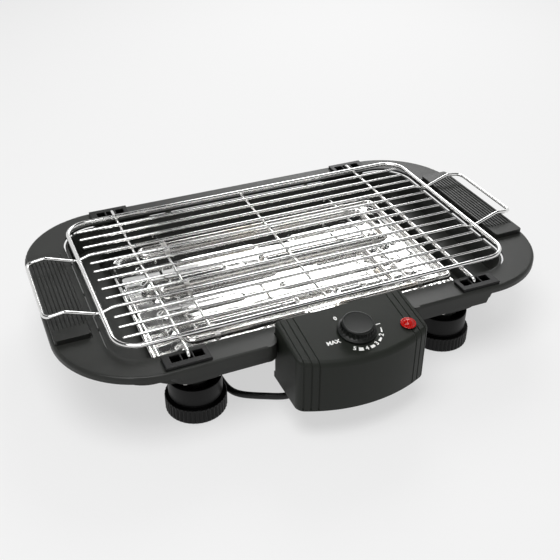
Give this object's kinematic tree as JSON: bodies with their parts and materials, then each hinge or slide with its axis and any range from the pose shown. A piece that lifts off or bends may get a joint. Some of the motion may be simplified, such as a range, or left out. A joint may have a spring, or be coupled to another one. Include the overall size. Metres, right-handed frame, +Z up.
{
  "type": "electric table grill",
  "caption": "Electric table grill: plastic tub on twist feet, drip tray, lift-out heating unit with a control box, and a wire rack with two handles.",
  "frame": {"origin": "on the table under the middle of the grill, control box included and mains lead left out", "axes": "+X along the grill to its right end, +Y to the back, away from the control box, +Z up"},
  "size_m": [0.4976, 0.4282, 0.0995],
  "materials": {
    "rim_plastic": "satin",
    "grip_plastic": "matte",
    "sole_rubber": "matte",
    "chrome_wire": "polished",
    "bright_sheet": "polished",
    "steel": "brushed",
    "heater_steel": "satin",
    "pin_metal": "polished",
    "ceramic": "matte",
    "red_lens": "gloss",
    "cord_jacket": "matte"
  },
  "bodies": {
    "base": {"base_body": "rim_plastic", "bracket_fl": "rim_plastic", "bracket_fr": "rim_plastic", "bracket_bl": "rim_plastic", "bracket_br": "rim_plastic", "grip_pad_left": "grip_plastic", "grip_pad_right": "grip_plastic", "grip_screws": "steel", "leg_screws": "steel", "cord_run": "cord_jacket", "cord_coil": "cord_jacket", "cord_tie": "grip_plastic", "cord_tail": "cord_jacket", "plug_body": "grip_plastic", "plug_pins": "pin_metal"},
    "heater": {"control_cover": "rim_plastic", "control_tub": "rim_plastic", "cover_screws": "steel", "thermostat": "ceramic", "thermal_cutout": "steel", "terminal_block": "ceramic", "lamp_holder": "grip_plastic", "lamp_lens": "red_lens", "element_flange": "steel", "heating_element": "heater_steel", "insulators": "ceramic", "support_rods": "steel", "support_clips": "steel", "strain_relief": "grip_plastic", "cord_lead": "cord_jacket"},
    "rack": {"rack_frame": "chrome_wire", "rack_bars": "chrome_wire", "rack_cross_wires": "chrome_wire", "rack_handle_wire": "chrome_wire"},
    "knob": {"knob": "grip_plastic", "knob_shaft": "steel"},
    "tray": {"drip_tray": "bright_sheet"},
    "foot_front_left": {"foot_fl": "grip_plastic", "sole_fl": "sole_rubber"},
    "foot_front_right": {"foot_fr": "grip_plastic", "sole_fr": "sole_rubber"},
    "foot_back_left": {"foot_bl": "grip_plastic", "sole_bl": "sole_rubber"},
    "foot_back_right": {"foot_br": "grip_plastic", "sole_br": "sole_rubber"}
  },
  "joints": [
    {"name": "heater_lift", "type": "slide", "parent": "base", "child": "heater", "axis": [0, 0, 1], "range_m": [0, 0.1], "deforming": ["cord_lead"]},
    {"name": "rack_lift", "type": "slide", "parent": "heater", "child": "rack", "axis": [0, 0, 1], "range_m": [0, 0.12]},
    {"name": "knob_turn", "type": "hinge", "parent": "heater", "child": "knob", "pos_m": [0, -0.14025, 0.08711], "axis": [0, -0.1564, 0.9877], "range_deg": [-278, 0]},
    {"name": "tray_lift", "type": "slide", "parent": "base", "child": "tray", "axis": [0, 0, 1], "range_m": [0, 0.012]},
    {"name": "foot_front_left_turn", "type": "hinge", "parent": "base", "child": "foot_front_left", "pos_m": [-0.131, -0.08075, 0.02], "axis": [0, 0, 1], "range_deg": [0, 60]},
    {"name": "foot_front_right_turn", "type": "hinge", "parent": "base", "child": "foot_front_right", "pos_m": [0.131, -0.08075, 0.02], "axis": [0, 0, 1], "range_deg": [0, 60]},
    {"name": "foot_back_left_turn", "type": "hinge", "parent": "base", "child": "foot_back_left", "pos_m": [-0.131, 0.13025, 0.02], "axis": [0, 0, 1], "range_deg": [0, 60]},
    {"name": "foot_back_right_turn", "type": "hinge", "parent": "base", "child": "foot_back_right", "pos_m": [0.131, 0.13025, 0.02], "axis": [0, 0, 1], "range_deg": [0, 60]}
  ]
}
